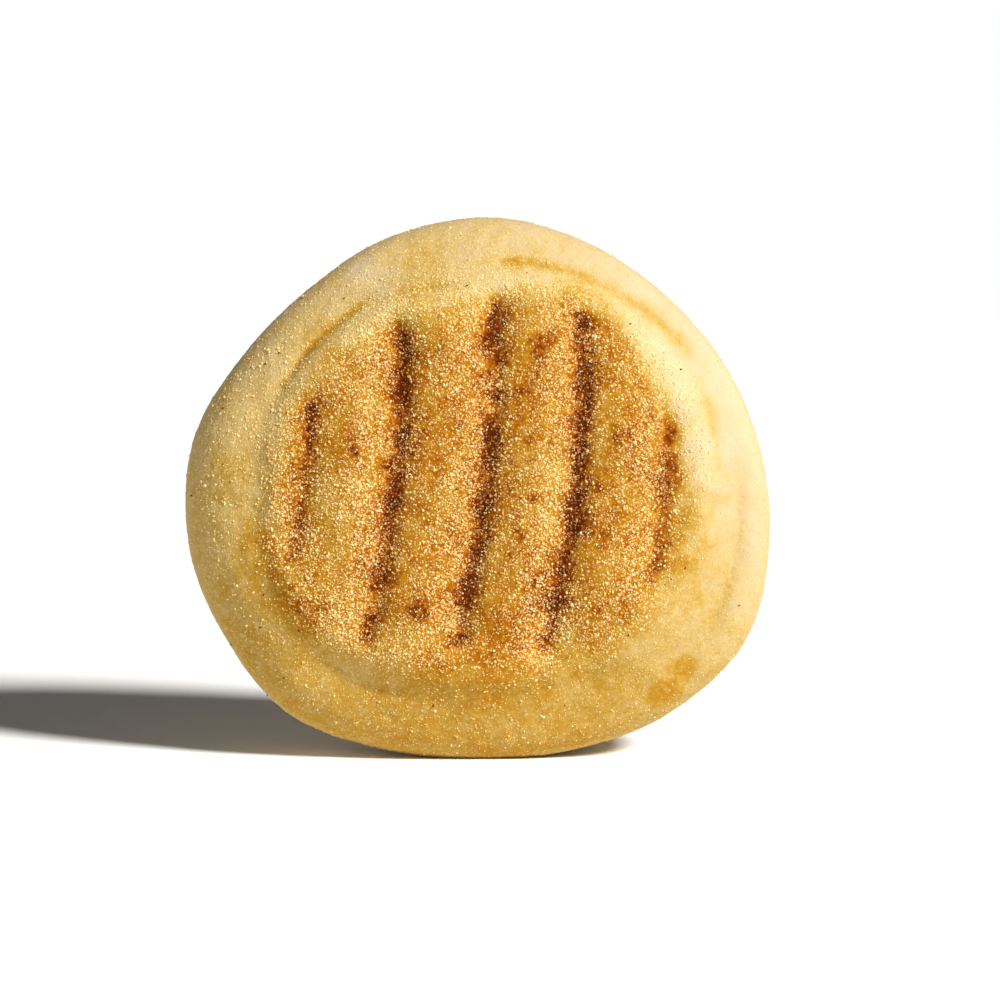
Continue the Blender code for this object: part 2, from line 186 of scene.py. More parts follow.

# Browning, 0 for raw cream to 1 for char: by the hours of a clock the radius to which each face is toasted
# and the rim's tone, then the belt between the faces, the pads, the warm halo beside the bars, and the
# blotches. The front rim's tone is partly its own toast and partly painted light: palest on the lit top
# right and browner round the foot, painted shade against the floor's bounce light.
FRONT_TOAST_RADII = np.array([30.4, 35.4, 33.4, 33.4, 33.2, 31.6, 29.4, 31.0, 35.4, 32.4, 32.4, 30.2]) * MM
BACK_TOAST_RADII = np.array([31.6, 32.0, 34.8, 34.2, 32.4, 31.0, 31.4, 33.4, 35.4, 33.6, 31.0, 30.2]) * MM
FRONT_RIM_BROWNING_AND_SHADE = np.array([0.11, 0.05, 0.01, 0.03, 0.14, 0.26, 0.31, 0.29, 0.25, 0.18, 0.13, 0.12])
BACK_RIM_BROWNING = np.array([0.12, 0.16, 0.20, 0.18, 0.20, 0.28, 0.32, 0.24, 0.12, 0.05, 0.05, 0.08])
BELT_BROWNING = 0.04
FRONT_PAD_BROWNING = 0.51
BACK_PAD_BROWNING = 0.53
HALO_BROWNING = 0.08
HALO_HALF_WIDTH = 3.0 * MM
HALO_SHIFT = 0.9 * MM
BLOTCH_BROWNING = 0.06
BLOTCH_LENGTH = 9 * MM
TOAST_FADE = 7.0 * MM
TOAST_RAGGED = 3.0 * MM

# Ragged edges of the toast, marks and spots: heights and lengths of the waves that shift them. Then the
# bar marks: how sharp their sides are, how even their darkness and how they end. Then how far a spot's
# browning and its wear reach, in its radius.
RAGGED_SHARE, RAGGED_LENGTH = 0.28, 5.0 * MM
FRAYED_SHARE, FRAYED_LENGTH = 0.18, 2.2 * MM
MARK_POWER = 2.2
MARK_EVEN, MARK_UNEVEN, MARK_LENGTH = 0.88, 0.2, 8.0 * MM
MARK_END_GAIN, MARK_END_LOSS = 1.6, 0.3
SPOT_REACH = 1.55
WEAR_REACH = 1.7

# Semolina coat by the hours of a clock: how far out it is full, and the share that clings to the rim. Then
# the length over which it thins, its clumps, how it wears off the spots and the bar marks, and how much it
# is raised on the groove bank that faces the key light and lowered on the shaded bank, a painted highlight
# and painted shade, with how far out from the groove those banks lie and their width.
FRONT_COAT_RADII = np.array([36.0, 37.6, 38.0, 37.0, 35.0, 31.2, 28.4, 30.0, 35.6, 33.2, 33.8, 34.6]) * MM
BACK_COAT_RADII = np.array([35.0, 35.6, 37.4, 37.2, 35.4, 32.6, 30.6, 33.0, 36.4, 37.4, 36.0, 34.6]) * MM
FRONT_RIM_COAT = np.array([0.38, 0.14, 0.08, 0.12, 0.24, 0.33, 0.35, 0.38, 0.44, 0.56, 0.60, 0.56])
BACK_RIM_COAT = np.array([0.30, 0.38, 0.46, 0.52, 0.50, 0.44, 0.48, 0.40, 0.26, 0.18, 0.20, 0.26])
BELT_COAT = 0.24
COAT_FADE = 7.0 * MM
CLUMPING = 0.17
CLUMP_LENGTH = 2.6 * MM
THICKET_LENGTH = 3.0 * CLUMP_LENGTH
SPOT_WEAR = 2.4
MARK_WEAR = 0.36
PAINTED_BANK_LIGHT = 0.26
PAINTED_BANK_AWAY = 3.9 * MM
PAINTED_BANK_WIDTH = 2.1 * MM

# Kinds of semolina grain: name, smallest and largest size, how many are tried, sides and rings of facets,
# and how strongly they gather where the coat is full. Then how uneven they are, how far they sink in and
# how much toast they take, and the same for the bran flecks, four of which lie at named places.
GRAIN_KINDS = [
    ("semolina_coarse", 0.48, 0.64, 6800, 5, 2, 2.8),
    ("semolina_medium", 0.38, 0.50, 22000, 5, 1, 2.2),
    ("semolina_fine", 0.30, 0.40, 24000, 4, 1, 1.6),
    ("semolina_small", 0.24, 0.32, 25000, 4, 1, 1.2),
    ("semolina_dust", 0.17, 0.24, 25000, 4, 1, 0.9),
]
GRAIN_STRETCH = (0.62, 1.18)
GRAIN_LIFT = (-0.36, 0.0)
GRAIN_TINT = 0.60
FLECK_SPOTS = [(-28.8, -21.9), (-31.4, -30.1), (-7.3, -34.5), (24.4, -22.6)]
FLECK_COUNT = 70
FLECK_CELL = 4.0 * MM
FLECK_GATHERING = 0.2
FLECK_SIZES = (0.28, 0.5)
FLECK_STRETCH = (0.5, 1.2)
FLECK_LIFT = (-0.1, 0.1)
FLOOR_CLEARANCE = 0.5 * MM
CRUST_SPECULAR = 0.02
GRAIN_SPECULAR = 0.14

# Lengths of the crust's mottling, grain, dust and specks, the height of its bump, and how many cells have
# a speck.
MOTTLE_LENGTH = 2.6 * MM
SPECKLE_LENGTH = 0.8 * MM
DUST_LENGTH = 0.36 * MM
PORE_LENGTH = 0.35 * MM
SPECK_CELL = 0.46 * MM
BUMP_HEIGHT = 0.12 * MM
SPECK_SHARE = 0.95

# The surround: heights of a direction between which it falls from white to the sky's strength.
SURROUND_TOP, SKY_START = 0.10, 0.20
LIGHT_COLOUR = (1.0, 0.98, 0.94)


def smooth_step(x):
    """0 below 0, 1 above 1, and a smooth cubic between them."""
    x = np.clip(x, 0.0, 1.0)
    return x * x * (3.0 - 2.0 * x)


def around(values, turns):
    """Reads evenly spaced values round a ring at any turn, 0 to 1, by a smooth curve through them."""
    place = (turns % 1.0) * len(values)
    index = np.floor(place).astype(int)
    t = place - index
    before, here, after, later = (values[(index + k) % len(values)] for k in (-1, 0, 1, 2))
    bend = 2.0 * before - 5.0 * here + 4.0 * after - later
    return here + 0.5 * t * (after - before + t * (bend + t * (3.0 * (here - after) + later - before)))


def waves(points, length, seed):
    """Sums plane waves of random heading and phase, about the given length, to a height near -1 to 1."""
    draw = np.random.default_rng(seed)
    heading = draw.normal(size=(WAVE_COUNT, 3))
    heading /= np.linalg.norm(heading, axis=1, keepdims=True)
    pitch = 2.0 * math.pi / (length * draw.uniform(*WAVE_SPREAD, WAVE_COUNT))
    phase = draw.uniform(0.0, 2.0 * math.pi, WAVE_COUNT)
    total = np.sin(points @ (heading * pitch[:, None]).T + phase).sum(axis=1)
    return total * math.sqrt(2.0 / WAVE_COUNT) / 2.0


def curve_through(points, at):
    """The parabola through three (value, place) points, read at a place."""
    (a, pa), (b, pb), (c, pc) = points
    return (a * (at - pb) * (at - pc) / ((pa - pb) * (pa - pc))
            + b * (at - pa) * (at - pc) / ((pb - pa) * (pb - pc))
            + c * (at - pa) * (at - pb) / ((pc - pa) * (pc - pb)))


def fold_shape(radius, hours, fold):
    """0 to 1 across one fold: a soft V along an arc that fades out at both ends."""
    first, last, r_first, r_middle, r_last, _, half_width, _ = fold
    hour = first + (hours - first) % 12.0
    ends = [(r_first, first), (r_middle, (first + last) / 2.0), (r_last, last)]
    arc = curve_through(ends, np.minimum(hour, last))
    fade = smooth_step((hour - first) / FOLD_FADE_HOURS) * smooth_step((last - hour) / FOLD_FADE_HOURS)
    return fade * np.exp(-np.abs((radius - arc * MM) / (half_width * MM)) ** FOLD_POWER)


def groove_line(across, up, groove):
    """Signed distance from a groove's bent line, and 0 to 1 for how far its ends let it show."""
    top, middle, bottom = groove[:3]
    offset = across - curve_through([top, middle, bottom], up / MM) * MM
    ends = smooth_step((top[1] * MM - up) / GROOVE_END_FADE + 0.5)
    ends *= smooth_step((up - bottom[1] * MM) / GROOVE_END_FADE + 0.5)
    return offset, ends


def face_relief(across, up, pad_radii, pad_rise, pad_edges, ring_depths, folds, grooves):
    """Height of one face over the plain body: its raised pad, less the sunken ring round it, its folds
    and grooves. The pad is level at its middle and reaches its own height for each hour at its edge."""
    radius = np.hypot(across, up)
    turns = np.arctan2(across, up) / (2.0 * math.pi)
    edge = around(pad_radii, turns)
    uneven = around(pad_rise, turns) - pad_rise.mean()
    level = pad_rise.mean() + uneven * np.minimum(radius / edge, 1.0) ** 2
    height = smooth_step((edge - radius) / around(pad_edges, turns) + 0.5) * level
    height -= around(ring_depths, turns) * np.exp(-((radius - edge - RING_OFFSET) / RING_HALF_WIDTH) ** 2)
    for fold in folds:
        height -= fold[5] * MM * fold_shape(radius, turns * 12.0, fold)
    for groove in grooves:
        offset, ends = groove_line(across, up, groove)
        channel = (1.0 - VALLEY_SHARE) * np.exp(-(offset / GROOVE_HALF_WIDTH) ** 2)
        valley = VALLEY_SHARE * np.exp(-(offset / VALLEY_HALF_WIDTH) ** 2)
        height -= groove[3] * MM * ends * (channel + valley)
    return height


def face_browning(points, across, up, toast_radii, rim_tone, plain, folds, grooves, spots):
    """Browning of one face: rim to pad by a soft step, plus a halo and a dark mark along each bar, the
    folds with painted shade in their creases, round spots of smooth edge, a few of them painted shade, and
    blotches. On the front the rim's tone also holds painted light and shade."""
    radius = np.hypot(across, up)
    turns = np.arctan2(across, up) / (2.0 * math.pi)
    ragged = 1.0 + RAGGED_SHARE * waves(points, RAGGED_LENGTH, RAGGED_SEED)
    ragged += FRAYED_SHARE * waves(points, FRAYED_LENGTH, FRAYED_SEED)
    reach = around(toast_radii, turns) + TOAST_RAGGED * (ragged - 1.0)
    inside = smooth_step((reach - radius) / TOAST_FADE + 0.5)
    # On the front the rim's tone is partly painted light: paler on the lit top right, browner at the shaded
    # foot.
    rim = around(rim_tone, turns)
    tone = rim + (plain - rim) * inside
    tone += BLOTCH_BROWNING * (0.5 + inside) * waves(points, BLOTCH_LENGTH, BLOTCH_SEED)
    # Each fold browns the crust, partly as its own toast and partly as painted shade in its crease.
    for fold in folds:
        tone += fold[7] * ragged * fold_shape(radius, turns * 12.0, fold)
    for groove in grooves:
        offset, ends = groove_line(across, up, groove)
        tone += HALO_BROWNING * ends * np.exp(-((offset + HALO_SHIFT) / HALO_HALF_WIDTH) ** 2)
        mark = np.exp(-np.abs(offset / (groove[5] * MM * ragged)) ** MARK_POWER)
        darkness = groove[4] * (MARK_EVEN + MARK_UNEVEN * waves(points, MARK_LENGTH, MARK_SEED))
        tone += darkness * mark * smooth_step(MARK_END_GAIN * ends - MARK_END_LOSS)
    # Most spots are toast; a few browner ones on the front are painted shade on the left rim and in the
    # pad's upper creases.
    for spot_across, spot_up, spot_radius, strength in spots:
        away = np.hypot(across - spot_across * MM, up - spot_up * MM) / (spot_radius * MM * ragged)
        tone += strength * smooth_step(SPOT_REACH - away)
    return tone


def face_coat(points, across, up, coat_radii, rim_coat, grooves, spots):
    """Share of full semolina cover on one face: full within its radii, by the hour on the rim, thicker
    and thinner in clumps, worn off the spots, toasted or painted shade, by their strength and off the bar
    marks, and raised on the groove bank that faces the key light and lowered on the shaded bank, as a
    painted highlight and painted shade."""
    turns = np.arctan2(across, up) / (2.0 * math.pi)
    inside = smooth_step((around(coat_radii, turns) - np.hypot(across, up)) / COAT_FADE + 0.5)
    rim = around(rim_coat, turns)
    cover = rim + (1.0 - rim) * inside
    clumps = waves(points, CLUMP_LENGTH, CLUMP_SEED) + waves(points, THICKET_LENGTH, THICKET_SEED)
    cover *= 1.0 + CLUMPING * clumps
    for spot_across, spot_up, spot_radius, strength in spots:
        away = np.hypot(across - spot_across * MM, up - spot_up * MM) / (spot_radius * MM)
        cover *= 1.0 - min(1.0, SPOT_WEAR * strength) * smooth_step(WEAR_REACH - away)
    for groove in grooves:
        offset, ends = groove_line(across, up, groove)
        # Painted highlight and shade: more coat, and so more pale specks and grains, on the groove bank
        # facing the key light, less on the shaded bank.
        bank_light_and_shade = np.exp(-((offset + PAINTED_BANK_AWAY) / PAINTED_BANK_WIDTH) ** 2)
        bank_light_and_shade -= np.exp(-((offset - PAINTED_BANK_AWAY) / PAINTED_BANK_WIDTH) ** 2)
        worn = MARK_WEAR * np.exp(-(offset / (groove[5] * MM)) ** 2)
        cover *= 1.0 + ends * (PAINTED_BANK_LIGHT * bank_light_and_shade - worn)
    return np.clip(cover, 0.0, None)


def ball_patches(steps):
    """A ball as the six faces of a cube, each a grid of equal angles: a point's direction has the tangents
    of its two angles and 1. Points on shared edges are one point. Returns directions and quads."""
    low, high = np.meshgrid(np.arange(steps + 1), np.arange(steps + 1), indexing="ij")
    corners = []
    for axis in range(3):
        for end in (0, steps):
            place = np.zeros((steps + 1, steps + 1, 3), int)
            place[..., axis] = end
            place[..., (axis + 1) % 3] = low if end else high
            place[..., (axis + 2) % 3] = high if end else low
            corners.append(place @ np.array([1, steps + 1, (steps + 1) ** 2]))
    keys, ids = np.unique(np.stack(corners), return_inverse=True)
    ids = ids.reshape(6, steps + 1, steps + 1)
    quads = np.stack([ids[:, :-1, :-1], ids[:, 1:, :-1], ids[:, 1:, 1:], ids[:, :-1, 1:]], axis=-1)
    side = steps + 1
    whole = np.stack([keys % side, keys // side % side, keys // side ** 2], axis=1)
    directions = np.tan((2.0 * whole / steps - 1.0) * math.pi / 4.0)
    return directions / np.linalg.norm(directions, axis=1, keepdims=True), quads.reshape(-1, 4)


def flattened(directions, thickness):
    """Takes each direction of a ball to the muffin's section: its angle from the front pole becomes an
    even share of the way round the superellipse |out|^p + |depth|^p = 1."""
    angle = np.linspace(0.0, math.pi, SECTION_STEPS)
    out = MEAN_RADIUS * np.abs(np.sin(angle)) ** (2.0 / SECTION_POWER)
    depth = -0.5 * thickness * np.sign(np.cos(angle)) * np.abs(np.cos(angle)) ** (2.0 / SECTION_POWER)
    length = np.concatenate([[0.0], np.cumsum(np.hypot(np.diff(out), np.diff(depth)))])
    x, y, z = directions.T
    way = np.arccos(np.clip(-y, -1.0, 1.0)) / math.pi * length[-1]
    spread = np.interp(way, length, out) / np.maximum(np.hypot(x, z), 1e-9)
    return np.stack([x * spread, np.interp(way, length, depth), z * spread], axis=1)


def shape_crust(points, shape):
    """Moves the flattened ball's points to the real rim, presses both faces, adds lumps and wrinkles and
    flattens the foot. Returns the points, their browning and their share of the semolina coat."""
    turns = np.arctan2(points[:, 0], points[:, 2]) / (2.0 * math.pi)
    points = points.copy()
    points[:, [0, 2]] *= (around(RIM_RADII, turns) / MEAN_RADIUS)[:, None]
    x, y, z = points.T
    level = np.abs(y) / (0.5 * shape.thickness)
    flat_share = smooth_step((level - RELIEF_START) / RELIEF_FADE)
    front = face_relief(x, z, FRONT_PAD_RADII, FRONT_PAD_RISE, FRONT_PAD_EDGES, FRONT_RING_DEPTHS,
                        FRONT_FOLDS, FRONT_GROOVES)
    back = face_relief(-x, z, BACK_PAD_RADII, BACK_PAD_RISE, BACK_PAD_EDGES, BACK_RING_DEPTHS, BACK_FOLDS,
                       BACK_GROOVES)
    relief = np.where(y < 0.0, -front, back) * flat_share
    outward = points / np.array([MEAN_RADIUS, 0.5 * shape.thickness, MEAN_RADIUS]) ** 2
    outward /= np.linalg.norm(outward, axis=1, keepdims=True)
    height = LUMP_HEIGHT * waves(points, LUMP_LENGTH, LUMP_SEED)
    height += DIMPLE_HEIGHT * waves(points, DIMPLE_LENGTH, DIMPLE_SEED)
    height *= RIM_LUMP_SHARE + (1.0 - RIM_LUMP_SHARE) * flat_share
    wrinkles = waves(points, WRINKLE_LENGTH, WRINKLE_SEED)
    wrinkles += CREASE_SHARE * waves(points, CREASE_LENGTH, CREASE_SEED)
    height += shape.wrinkle_height * wrinkles
    shaped = points + outward * height[:, None]
    shaped[:, 1] += relief
    browning = np.where(
        y < 0.0,
        face_browning(points, x, z, FRONT_TOAST_RADII, FRONT_RIM_BROWNING_AND_SHADE, FRONT_PAD_BROWNING, FRONT_FOLDS,
                      FRONT_GROOVES, FRONT_TOAST_AND_SHADE_SPOTS),
        face_browning(points, -x, z, BACK_TOAST_RADII, BACK_RIM_BROWNING, BACK_PAD_BROWNING, BACK_FOLDS,
                      BACK_GROOVES, BACK_SPOTS))
    inside = smooth_step((level - BROWNING_START) / BROWNING_FADE)
    browning = BELT_BROWNING + (browning - BELT_BROWNING) * inside
    coat = np.where(
        y < 0.0,
        face_coat(points, x, z, FRONT_COAT_RADII, FRONT_RIM_COAT, FRONT_GROOVES, FRONT_TOAST_AND_SHADE_SPOTS),
        face_coat(points, -x, z, BACK_COAT_RADII, BACK_RIM_COAT, BACK_GROOVES, BACK_SPOTS))
    coat = BELT_COAT + (coat - BELT_COAT) * smooth_step((level - COAT_START) / COAT_SPAN)
    shaped[:, 2] = np.maximum(shaped[:, 2], -FOOT_DROP)
    low, high = shaped.min(axis=0), shaped.max(axis=0)
    shaped -= np.array([(low[0] + high[0]) / 2.0, (low[1] + high[1]) / 2.0, low[2]])
    return shaped, browning, coat


def make_mesh(name, points, faces, smooth, **fields):
    """Puts a whole array of points and one of faces with equal sides into a mesh object, with its named
    number for each point."""
    mesh = bpy.data.meshes.new(name)
    sides = faces.shape[1]
    mesh.vertices.add(len(points))
    mesh.vertices.foreach_set("co", np.ascontiguousarray(points, np.float32).ravel())
    mesh.loops.add(faces.size)
    mesh.loops.foreach_set("vertex_index", np.ascontiguousarray(faces, np.int32).ravel())
    mesh.polygons.add(len(faces))
    mesh.polygons.foreach_set("loop_start", np.arange(0, faces.size, sides, dtype=np.int32))
    mesh.polygons.foreach_set("use_smooth", np.full(len(faces), smooth))
    mesh.update(calc_edges=True)
    for field, values in fields.items():
        mesh.attributes.new(field, "FLOAT", "POINT").data.foreach_set("value", values.astype(np.float32))
    obj = bpy.data.objects.new(name, mesh)
    bpy.context.scene.collection.objects.link(obj)
    return obj


def finish_piece(obj, material):
    """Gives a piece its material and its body."""
    obj.data.materials.append(material)
    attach(obj, "root")


def crust_arrays():
    """Reads back the crust: its triangles' corners, and the browning and coat at each of its points."""
    mesh = bpy.data.objects["crust"].data
    points = np.empty(len(mesh.vertices) * 3, np.float32)
    mesh.vertices.foreach_get("co", points)
    quads = np.empty(len(mesh.loops), np.int32)
    mesh.loops.foreach_get("vertex_index", quads)
    quads = quads.reshape(-1, 4)
    fields = []
    for field in ("browning", "coat"):
        values = np.empty(len(mesh.vertices), np.float32)
        mesh.attributes[field].data.foreach_get("value", values)
        fields.append(values)
    triangles = np.concatenate([quads[:, [0, 1, 2]], quads[:, [0, 2, 3]]])
    return points.reshape(-1, 3).astype(float), triangles, *fields


def scatter(draw, count, cell, gathering):
    """Draws places on the crust, as many for each area as its coat to the given power asks, and keeps one
    to a cell. Returns the places, the outward directions there and the browning."""
    points, triangles, browning, coat = crust_arrays()
    a, b, c = (points[triangles[:, k]] for k in range(3))
    across = np.cross(b - a, c - a)
    weight = np.linalg.norm(across, axis=1) * coat[triangles].mean(axis=1) ** gathering
    reach = np.cumsum(weight)
    pick = np.searchsorted(reach, draw.uniform(0.0, reach[-1], count))
    s, t = draw.uniform(0.0, 1.0, (2, count))
    over = s + t > 1.0
    s[over], t[over] = 1.0 - s[over], 1.0 - t[over]
    share = np.stack([1.0 - s - t, s, t], axis=1)[..., None]
    places = (points[triangles[pick]] * share).sum(axis=1)
    out = across[pick] / np.linalg.norm(across[pick], axis=1, keepdims=True)
    kept = np.sort(np.unique(np.floor(places / cell).astype(int), axis=0, return_index=True)[1])
    kept = kept[places[kept, 2] > FLOOR_CLEARANCE]
    return places[kept], out[kept], browning[triangles[pick][kept]].mean(axis=1)


def blunt_solid(sides, rings):
    """A small closed solid of diameter 1: two poles and one or two twisted rings of points between."""
    tilt = math.pi * np.arange(1, rings + 1) / (rings + 1)
    turn = 2.0 * math.pi * (np.arange(sides) + 0.5 * np.arange(rings)[:, None]) / sides
    ring = np.stack([np.sin(tilt)[:, None] * np.cos(turn), np.sin(tilt)[:, None] * np.sin(turn),
                     np.broadcast_to(np.cos(tilt)[:, None], turn.shape)], axis=-1).reshape(-1, 3)
    points = 0.5 * np.concatenate([[[0.0, 0.0, 1.0]], ring, [[0.0, 0.0, -1.0]]])
    here = np.arange(sides)
    after = (here + 1) % sides
    last = 1 + sides * (rings - 1)
    faces = [np.stack([np.zeros(sides, int), 1 + here, 1 + after], axis=1)]
    for first in range(1, last, sides):
        faces.append(np.stack([first + here, first + sides + here, first + after], axis=1))
        faces.append(np.stack([first + after, first + sides + here, first + sides + after], axis=1))
    faces.append(np.stack([last + here, np.full(sides, last + sides), last + after], axis=1))
    return points, np.concatenate(faces)


def random_turns(draw, count):
    """Evenly random rotation matrices, from unit quaternions."""
    q = draw.normal(size=(count, 4))
    w, x, y, z = (q / np.linalg.norm(q, axis=1, keepdims=True)).T
    return np.stack([
        np.stack([1 - 2 * (y * y + z * z), 2 * (x * y - z * w), 2 * (x * z + y * w)], axis=1),
        np.stack([2 * (x * y + z * w), 1 - 2 * (x * x + z * z), 2 * (y * z - x * w)], axis=1),
        np.stack([2 * (x * z - y * w), 2 * (y * z + x * w), 1 - 2 * (x * x + y * y)], axis=1)], axis=1)


def lay_solids(draw, places, out, sizes, solid, stretch, lift):
    """Copies one small solid to every place: stretched unevenly, turned at random and set on the crust
    with its middle lifted by a share of its size. Returns all points and faces, and each point's copy."""
    points, faces = solid
    count = len(places)
    scale = sizes[:, None] * draw.uniform(stretch[0], stretch[1], (count, 3))
    turned = np.einsum("nij,nkj->nki", random_turns(draw, count), points[None] * scale[:, None])
    middle = places + out * (sizes * draw.uniform(lift[0], lift[1], count))[:, None]
    shift = len(points) * np.arange(count)[:, None, None]
    owner = np.repeat(np.arange(count), len(points))
    return (turned + middle[:, None]).reshape(-1, 3), (faces[None] + shift).reshape(-1, 3), owner


class Wire:
    """One output of a material's nodes. Arithmetic on it adds Math nodes, and add() makes any other."""

    def __init__(self, tree, socket=None):
        self.tree = tree
        self.socket = socket

    def add(self, kind, settings=None, inputs=None, output=0):
        """Adds a node: its settings first, then a value or a wire for each input."""
        node = self.tree.nodes.new(kind)
        for name, value in (settings or {}).items():
            if name == "stops":
                set_stops(node.color_ramp, value)
            else:
                setattr(node, name, value)
        for key, value in (inputs or {}).items():
            if isinstance(value, Wire):
                self.tree.links.new(value.socket, node.inputs[key])
            else:
                node.inputs[key].default_value = value
        return Wire(self.tree, node.outputs[output])

    def math(self, operation, *terms, clamp=False):
        """Adds a Math node on the given terms."""
        settings = {"operation": operation, "use_clamp": clamp}
        return self.add("ShaderNodeMath", settings, dict(enumerate(terms)))

    def __add__(self, other):
        return self.math("ADD", self, other)

    def __sub__(self, other):
        return self.math("SUBTRACT", self, other)

    def __rsub__(self, other):
        return self.math("SUBTRACT", other, self)

    def __mul__(self, other):
        return self.math("MULTIPLY", self, other)

    __radd__ = __add__
    __rmul__ = __mul__

    def clip(self):
        """The wire kept between 0 and 1."""
        return self.math("ADD", self, 0.0, clamp=True)

    def blend(self, first, second):
        """Mixes two colours by this wire."""
        return self.add("ShaderNodeMix", {"data_type": "RGBA"}, {0: self, 6: first, 7: second}, output=2)


def set_stops(ramp, stops):
    """Sets a colour ramp's stops from (position, colour) pairs."""
    while len(ramp.elements) < len(stops):
        ramp.elements.new(1.0)
    for element, (position, colour) in zip(ramp.elements, stops):
        element.position = position
        element.color = (*colour, 1.0)


def new_material(name, roughness, specular):
    """A Principled material: its wire to start from, and its shader."""
    material = bpy.data.materials.new(name)
    material.use_nodes = True
    shader = material.node_tree.nodes["Principled BSDF"]
    shader.inputs["Roughness"].default_value = roughness
    shader.inputs["Specular IOR Level"].default_value = specular
    return material, Wire(material.node_tree), shader


def plug(wire, shader, socket):
    """Links a wire to one of the shader's sockets."""
    wire.tree.links.new(wire.socket, shader.inputs[socket])


def noise(start, place, length, detail=2.0):
    """Noise between about -1 and 1, with features of the given length."""
    raw = start.add("ShaderNodeTexNoise", {}, {"Vector": place, "Scale": 1.0 / length, "Detail": detail})
    return (raw - 0.5) * 3.5


def toast_ramp(start, tone, look):
    """Colour of the crust for its browning, from raw cream to char."""
    stops = [(0.0, look.cream), (0.15, look.straw), (0.30, look.maize), (0.45, look.gold),
             (0.60, look.amber), (0.80, look.brown), (1.0, look.char)]
    return start.add("ShaderNodeValToRGB", {"stops": stops}, {0: tone})


def specks(start, place, cell, coat):
    """Irregular dots, one to a cell of the given length, where the coat is more than the cell's own
    number: 1 at a dot's middle and 0 between dots."""
    stir = start.add("ShaderNodeTexNoise", {}, {"Vector": place, "Scale": 1.6 / cell, "Detail": 1.0},
                     output=1)
    stirred = start.add("ShaderNodeVectorMath", {"operation": "MULTIPLY_ADD"},
                        {0: stir, 1: (0.5 * cell,) * 3, 2: place})
    inputs = {"Vector": stirred, "Scale": 1.0 / cell}
    away = start.add("ShaderNodeTexVoronoi", {}, inputs)
    tint = start.add("ShaderNodeTexVoronoi", {}, inputs, output=1)
    own = start.add("ShaderNodeSeparateColor", {}, {0: tint})
    return ((0.42 - away) * 6.0).clip() * ((coat * SPECK_SHARE - own) * 6.0).clip()


def crust_material(look):
    """Baked crust: the browning attribute, roughened by noise at two lengths, read through the toast
    colours, with irregular pale specks where the coat clings and a grainy bump."""
    material, start, shader = new_material("crust", look.roughness, CRUST_SPECULAR)
    place = start.add("ShaderNodeTexCoord", output=3)
    tone = start.add("ShaderNodeAttribute", {"attribute_name": "browning"}, output=2)
    coat = start.add("ShaderNodeAttribute", {"attribute_name": "coat"}, output=2)
    coarse = noise(start, place, MOTTLE_LENGTH, 3.0)
    fine = noise(start, place, SPECKLE_LENGTH, 3.0)
    ragged = tone + (coarse * 0.22 + fine * 0.32) * (tone + 0.06)
    colour = toast_ramp(start, ragged.clip(), look)
    dust = (noise(start, place, DUST_LENGTH) * 0.75 + 0.15).clip() * coat.clip() * (0.95 - tone * 1.9)
    dusted = dust.clip().blend(colour, (*look.flour, 1.0))
    speck = specks(start, place, SPECK_CELL, coat) * (coat.clip() * 0.6 + 0.24) * (1.0 - tone * 0.75)
    pale = speck.blend(dusted, (*look.flour, 1.0))
    plug(pale, shader, "Base Color")
    plug((fine * 0.08 + look.roughness).clip(), shader, "Roughness")
    height = fine * 0.2 + noise(start, place, PORE_LENGTH) * 0.15 + speck * 0.5
    bump = start.add("ShaderNodeBump", {}, {"Strength": 1.0, "Distance": BUMP_HEIGHT, "Height": height})
    plug(bump, shader, "Normal")
    return material


def grain_material(look, name):
    """Semolina: cream endosperm, here and there toasted towards the crust's colour under it."""
    material, start, shader = new_material(name, look.grain_roughness, GRAIN_SPECULAR)
    tone = start.add("ShaderNodeAttribute", {"attribute_name": "browning"}, output=2)
    lot = start.add("ShaderNodeAttribute", {"attribute_name": "lot"}, output=2)
    toasted = toast_ramp(start, (tone * 0.70).clip(), look)
    pale = lot.blend((*look.flour, 1.0), (*look.grain, 1.0))
    share = (tone * tone * GRAIN_TINT + (lot - 0.5) * 0.5).clip()
    plug(share.blend(pale, toasted), shader, "Base Color")
    return material


def fleck_material(look):
    """Bran: dark brown, a little lighter from fleck to fleck."""
    material, start, shader = new_material("bran", look.grain_roughness, GRAIN_SPECULAR)
    lot = start.add("ShaderNodeAttribute", {"attribute_name": "lot"}, output=2)
    plug(lot.blend((*look.char, 1.0), (*look.brown, 1.0)), shader, "Base Color")
    return material


def floor_material(stage):
    """A plain pale floor with the faintest unevenness."""
    material, start, shader = new_material("floor", 0.8, CRUST_SPECULAR)
    place = start.add("ShaderNodeTexCoord", output=3)
    shade = (noise(start, place, 400 * MM) * 0.006 + 0.5).clip()
    plug(shade.blend((*stage.floor_colour, 1.0), (1.0, 1.0, 1.0, 1.0)), shader, "Base Color")
    return material


def studio_world(stage):
    """A white surround that falls off to a dimmer overhead, by the height of each direction."""
    world = bpy.data.worlds.new("studio")
    world.use_nodes = True
    start = Wire(world.node_tree)
    height = start.add("ShaderNodeSeparateXYZ", {}, {0: start.add("ShaderNodeTexCoord")}, output=2)
    fall = start.add("ShaderNodeMapRange", {"interpolation_type": "SMOOTHSTEP"},
                     {0: height, 1: SURROUND_TOP, 2: SKY_START, 3: 1.0, 4: stage.sky})
    backdrop = world.node_tree.nodes["Background"]
    backdrop.inputs["Color"].default_value = (1.0, 1.0, 1.0, 1.0)
    plug(fall, backdrop, "Strength")
    return world


def point_at(obj, place, target):
    """Puts a light or camera at a place, looking at a target with its top up."""
    obj.location = place
    obj.rotation_euler = Vector(target - place).to_track_quat("-Z", "Y").to_euler()


